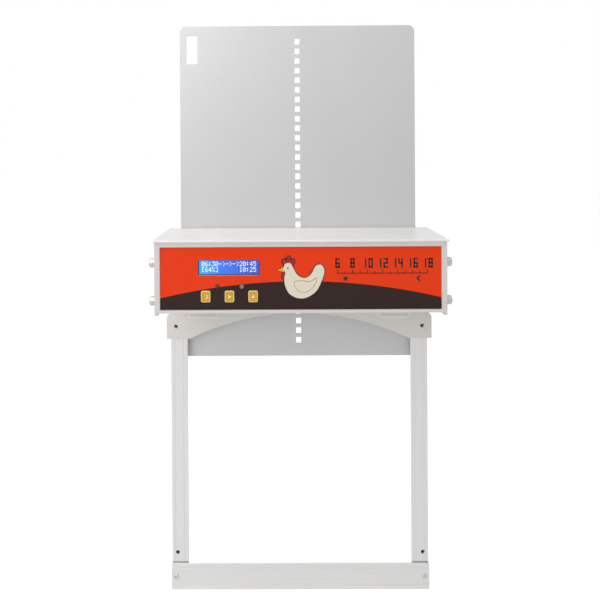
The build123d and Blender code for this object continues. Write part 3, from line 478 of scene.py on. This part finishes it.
film_print("emblem_comb", [hen_comb, hen_wattle], ink_red, 2)
film_print("emblem_beak", [hen_beak], ink_yellow, 3)
film_print("emblem_body", [hen_body], ink_cream, 4)
film_print("emblem_wing_line", [grown(hen_wing, wing_line_width)], ink_dark, 5)
film_print("emblem_wing", [hen_wing], ink_cream, 6)
film_print("emblem_eye", [oval(eye_x, eye_z, 0.8 * MM, 0.9 * MM)], ink_dark, 5)

# ---------------------------------------------------------------- hour scale with sun and moon
scale_left, scale_right = 38 * MM, 130 * MM
scale_z = up(386.5)
hours = (6, 8, 10, 12, 14, 16, 18)
numeral_z = up(396.5)
numeral_width, numeral_height, numeral_stroke = 4.5 * MM, 9.8 * MM, 1.6 * MM
for hour, x in zip(hours, np.linspace(scale_left, scale_right, len(hours))):
    shapes = numeral_bars(str(hour), x, numeral_z, numeral_width, numeral_height, numeral_stroke)
    film_print(f"hour_{hour}", shapes, ink_dark)

tick_half = 0.45 * MM
tick_long, tick_short = 3.2 * MM, 1.9 * MM
tick_x = np.linspace(scale_left, scale_right, 2 * len(hours) - 1)
ticks = [bar(x - tick_half, x + tick_half, scale_z, scale_z + (tick_short if i % 2 else tick_long))
         for i, x in enumerate(tick_x)]
base_line = bar(scale_left - tick_half, scale_right + tick_half, scale_z - MM, scale_z)
film_print("hour_scale", ticks + [base_line], ink_dark)

icon_z = up(380.6)
sun_x, moon_x = scale_left + 8 * MM, scale_right - 8 * MM
sun_r, ray_from_sun, ray_r = 2.2 * MM, 3.5 * MM, 0.42 * MM
rays = [oval(sun_x + ray_from_sun * cos(a), icon_z + ray_from_sun * sin(a), ray_r, ray_r, 12)
        for a in np.arange(8) * pi / 4]
film_print("sun_icon", [oval(sun_x, icon_z, sun_r, sun_r)] + rays, ink_dark)
moon_r, bite_r, bite_off = 2.9 * MM, 2.3 * MM, 1.6 * MM
moon_out = oval(moon_x, icon_z, moon_r, moon_r, 40, radians(50), radians(310))
moon_in = oval(moon_x + bite_off, icon_z, bite_r, bite_r, 40, radians(285), radians(75))
film_print("moon_icon", [np.concatenate([moon_out, moon_in])], ink_dark)

# ---------------------------------------------------------------- keys
# Each mark is in millimetres about the middle of its key: a crescent and two arrow heads.
key_marks = {
    "return": np.concatenate([oval(0.3, 0, 2.1, 2.3, 24, radians(-100), radians(100)),
                              oval(-0.5, 0, 1.9, 1.6, 24, radians(75), radians(-75))]),
    "next": np.array([(-1.7, -1.9), (2.2, 0.0), (-1.7, 1.9), (-0.8, 0.0)]),
    "up": np.array([(-2.0, -1.8), (0.0, -0.9), (2.0, -1.8), (0.0, 2.2)]),
}
for key, outline in key_marks.items():
    low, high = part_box(f"button_{key}")
    middle = np.array([(low.x + high.x) / 2, (low.z + high.z) / 2])
    plate(f"mark_{key}", [outline * MM + middle], low.y - print_thickness, print_thickness, ink_pale,
          f"key_{key}")

# ---------------------------------------------------------------- display characters
DOTS = {
    "0": "01110 10001 10011 10101 11001 10001 01110", "1": "00100 01100 00100 00100 00100 00100 01110",
    "2": "01110 10001 00001 00010 00100 01000 11111", "3": "11111 00010 00100 00010 00001 10001 01110",
    "4": "00010 00110 01010 10010 11111 00010 00010", "5": "11111 10000 11110 00001 00001 10001 01110",
    "6": "00110 01000 10000 11110 10001 10001 01110", ":": "00000 01100 01100 00000 01100 01100 00000",
    "[": "01110 01000 01000 01000 01000 01000 01110", "]": "01110 00010 00010 00010 00010 00010 01110",
    "-": "00000 00000 00000 11111 00000 00000 00000", ">": "01000 00100 00010 00001 00010 00100 01000",
    "%": "11000 11001 00010 00100 01000 10011 00011",
}
cell = np.array([3.55, 5.95]) * MM
dot = np.array([0.60, 0.70]) * MM
dot_half = dot * 0.44
rows_shown = ("06:30->->->20:45", "[64%]      10:25")
lit = []
for row, line in enumerate(rows_shown):
    for column, letter in enumerate(line):
        if letter == " ":
            continue
        corner = glass_middle + cell * np.array([column - len(line) // 2, 1 - row])
        grid = np.array([[mark == "1" for mark in stripe] for stripe in DOTS[letter].split()])
        down, across = np.nonzero(grid)
        lit.append(corner + np.stack([across, -down], 1) * dot + np.array([0.5, -0.5]) * dot)
unit = np.array([(-1, -1), (1, -1), (1, 1), (-1, 1)]) * dot_half
plate("display_characters", [centre + unit for centre in np.concatenate(lit)],
      glass_low.y - print_thickness, print_thickness, dot_glow)

# ---------------------------------------------------------------- floor, light and camera
# The floor and the background are pure white to the camera. They light the door less than
# that, and a mirrored ray sees a brighter room than the rest do.
WHITE = (1, 1, 1, 1)
PAPER = (0.72, 0.72, 0.72, 1)
floor_seen, floor_bounce = 0.72, 0.25
room_left, room_right, room_mirrored = 0.50, 0.30, 0.35

floor_mesh = bpy.data.meshes.new("floor")
reach = 12.0
floor_mesh.from_pydata([(-reach, -reach, foot_z), (reach, -reach, foot_z), (reach, reach, foot_z),
                        (-reach, reach, foot_z)], [], [(0, 1, 2, 3)])
floor = bpy.data.objects.new("floor", floor_mesh)
scene.collection.objects.link(floor)
floor_paint = bpy.data.materials.new("floor_paint")
floor_paint.use_nodes = True
floor_tree = floor_paint.node_tree
floor_tree.nodes.clear()
paper = add_node(floor_tree, "ShaderNodeBsdfDiffuse", {0: PAPER}).outputs[0]
white = add_node(floor_tree, "ShaderNodeEmission", {0: WHITE, 1: floor_seen}).outputs[0]
bounce = add_node(floor_tree, "ShaderNodeEmission", {0: WHITE, 1: floor_bounce}).outputs[0]
lit_paper = add_node(floor_tree, "ShaderNodeAddShader", {0: paper, 1: white}).outputs[0]
dim_paper = add_node(floor_tree, "ShaderNodeAddShader", {0: paper, 1: bounce}).outputs[0]
seen_floor = add_node(floor_tree, "ShaderNodeLightPath").outputs["Is Camera Ray"]
floor_mix = add_node(floor_tree, "ShaderNodeMixShader", {0: seen_floor, 1: dim_paper, 2: lit_paper})
add_node(floor_tree, "ShaderNodeOutputMaterial", {0: floor_mix.outputs[0]})
floor_mesh.materials.append(floor_paint)

world = bpy.data.worlds.new("studio")
scene.world = world
world.use_nodes = True
sky = world.node_tree
sky.nodes.clear()
look_way = add_node(sky, "ShaderNodeTexCoord").outputs["Generated"]
lean = mask_between(sky, axes_of(sky, look_way)[0], -1.0, 1.0, room_left, room_right)
ray_kind = add_node(sky, "ShaderNodeLightPath").outputs
mirrored = math(sky, "MULTIPLY_ADD", ray_kind["Is Glossy Ray"], room_mirrored, lean)
room = add_node(sky, "ShaderNodeBackground", {0: WHITE, 1: mirrored}).outputs[0]
backdrop = add_node(sky, "ShaderNodeBackground", {0: WHITE, 1: 1.0}).outputs[0]
blend_sky = add_node(sky, "ShaderNodeMixShader", {0: ray_kind["Is Camera Ray"], 1: room, 2: backdrop})
add_node(sky, "ShaderNodeOutputWorld", {0: blend_sky.outputs[0]})


def softbox(name, place, target, size, power):
    """A square area light at a place, aimed at a target."""
    light = bpy.data.lights.new(name, "AREA")
    light.size = size
    light.energy = power
    lamp = bpy.data.objects.new(name, light)
    lamp.location = place
    lamp.rotation_euler = (Vector(target) - Vector(place)).to_track_quat("-Z", "Y").to_euler()
    scene.collection.objects.link(lamp)


softbox("key_light", (-0.9, -1.2, 0.85), (0, 0, -0.05), 0.8, 7.0)
softbox("top_light", (-0.15, -0.35, 1.2), (0, -0.03, 0.2), 0.7, 4.8)

camera_data = bpy.data.cameras.new("camera")
camera_data.sensor_width = 36
camera_data.lens = 33
camera_data.shift_x = 0.0336
camera_data.shift_y = -0.2486
camera = bpy.data.objects.new("camera", camera_data)
camera_place = (-17.0 * MM, -657.7 * MM, up(513.1))
tilt_down, turn_left, roll = radians(0.12), radians(0.349), radians(0.348)
camera.matrix_world = (Matrix.Translation(camera_place) @ Matrix.Rotation(turn_left, 4, "Z")
                       @ Matrix.Rotation(pi / 2 - tilt_down, 4, "X") @ Matrix.Rotation(-roll, 4, "Z"))
scene.collection.objects.link(camera)
scene.camera = camera
